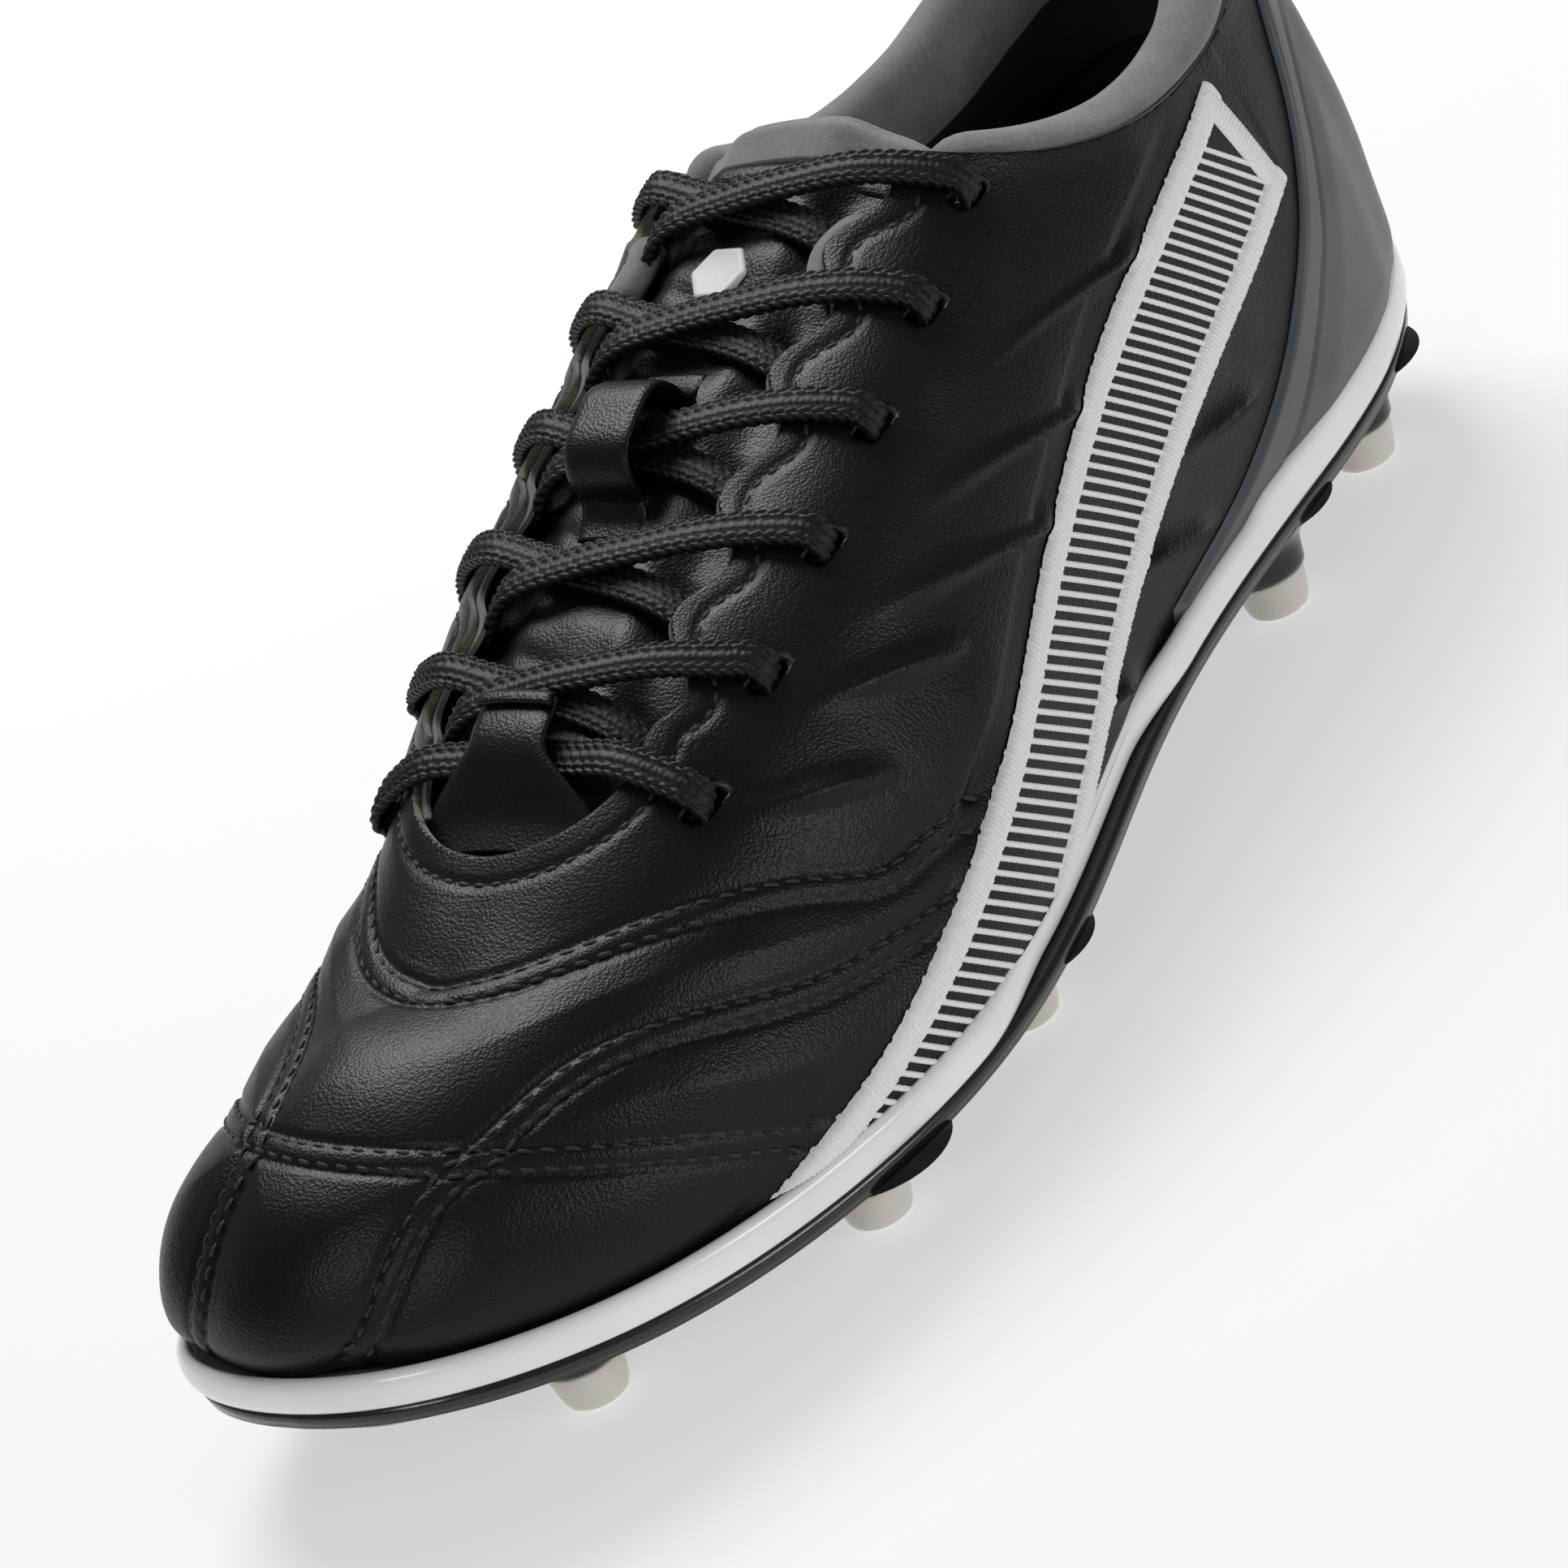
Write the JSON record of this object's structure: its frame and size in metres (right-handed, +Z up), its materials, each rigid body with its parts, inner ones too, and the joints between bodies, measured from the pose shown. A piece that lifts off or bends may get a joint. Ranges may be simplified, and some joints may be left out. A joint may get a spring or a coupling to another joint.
{
  "type": "soccer cleat",
  "caption": "Low-cut laced football boot with a quilted leather forefoot, padded collar, heel counter, slanted side band and a moulded plate with conical studs.",
  "frame": {"origin": "middle of the boot's footprint on the ground, under the stud tips", "axes": "+Z up, -Y towards the toe, +Y towards the heel, +X towards the outer (lateral) side of this left boot"},
  "size_m": [0.0999, 0.2893, 0.104],
  "materials": {
    "plate": "glossy black moulded plate",
    "rim": "glossy white sidewall",
    "board": "pressed fibre board",
    "liner": "brushed textile over foam",
    "leather": "soft black leather with a satin sheen",
    "lining": "black textile lining",
    "counter": "slate grey moulded sheet",
    "suede": "grey suede-like microfibre",
    "foam": "open foam",
    "band": "white satin stitch over black",
    "badge": "flat white print",
    "lace": "flat braided polyester",
    "aglet": "clear-coated tip",
    "stud_tip": "translucent warm white"
  },
  "bodies": {
    "boot": {"outsole_plate": "plate", "sole_rim": "rim", "insole_board": "board", "upper": "leather", "lining": "lining", "toe_puff": "board", "heel_stiffener": "board", "heel_counter": "counter", "collar_lining": "suede", "collar_foam": "foam", "eyestay_backer_lateral": "lining", "eyestay_backer_medial": "lining", "side_band_lateral": "band", "side_band_medial": "band", "throat_tab": "leather", "lace": "lace", "aglet_medial": "aglet", "aglet_lateral": "aglet", "stud_tip_forefoot_lateral_1": "stud_tip", "stud_tip_forefoot_lateral_2": "stud_tip", "stud_tip_forefoot_lateral_3": "stud_tip", "stud_tip_forefoot_medial_1": "stud_tip", "stud_tip_forefoot_medial_2": "stud_tip", "stud_tip_forefoot_medial_3": "stud_tip", "stud_tip_forefoot_centre": "stud_tip", "stud_tip_heel_lateral_1": "stud_tip", "stud_tip_heel_lateral_2": "stud_tip", "stud_tip_heel_medial_1": "stud_tip", "stud_tip_heel_medial_2": "stud_tip"},
    "tongue": {"tongue": "leather", "tongue_binding": "suede", "tongue_keeper": "leather", "tongue_badge": "badge"},
    "sock_liner": {"sock_liner": "liner"}
  },
  "joints": [
    {"name": "tongue_hinge", "type": "hinge", "parent": "boot", "child": "tongue", "pos_m": [-0.0005, -0.078, 0.058], "axis": [-1, 0, 0], "range_deg": [0, 1.5], "stiffness_Nm_per_rad": 3},
    {"name": "sock_liner_lift", "type": "hinge", "parent": "boot", "child": "sock_liner", "pos_m": [-0.011, -0.134, 0.0235], "axis": [1, 0, 0], "range_deg": [0, 5.5]}
  ]
}
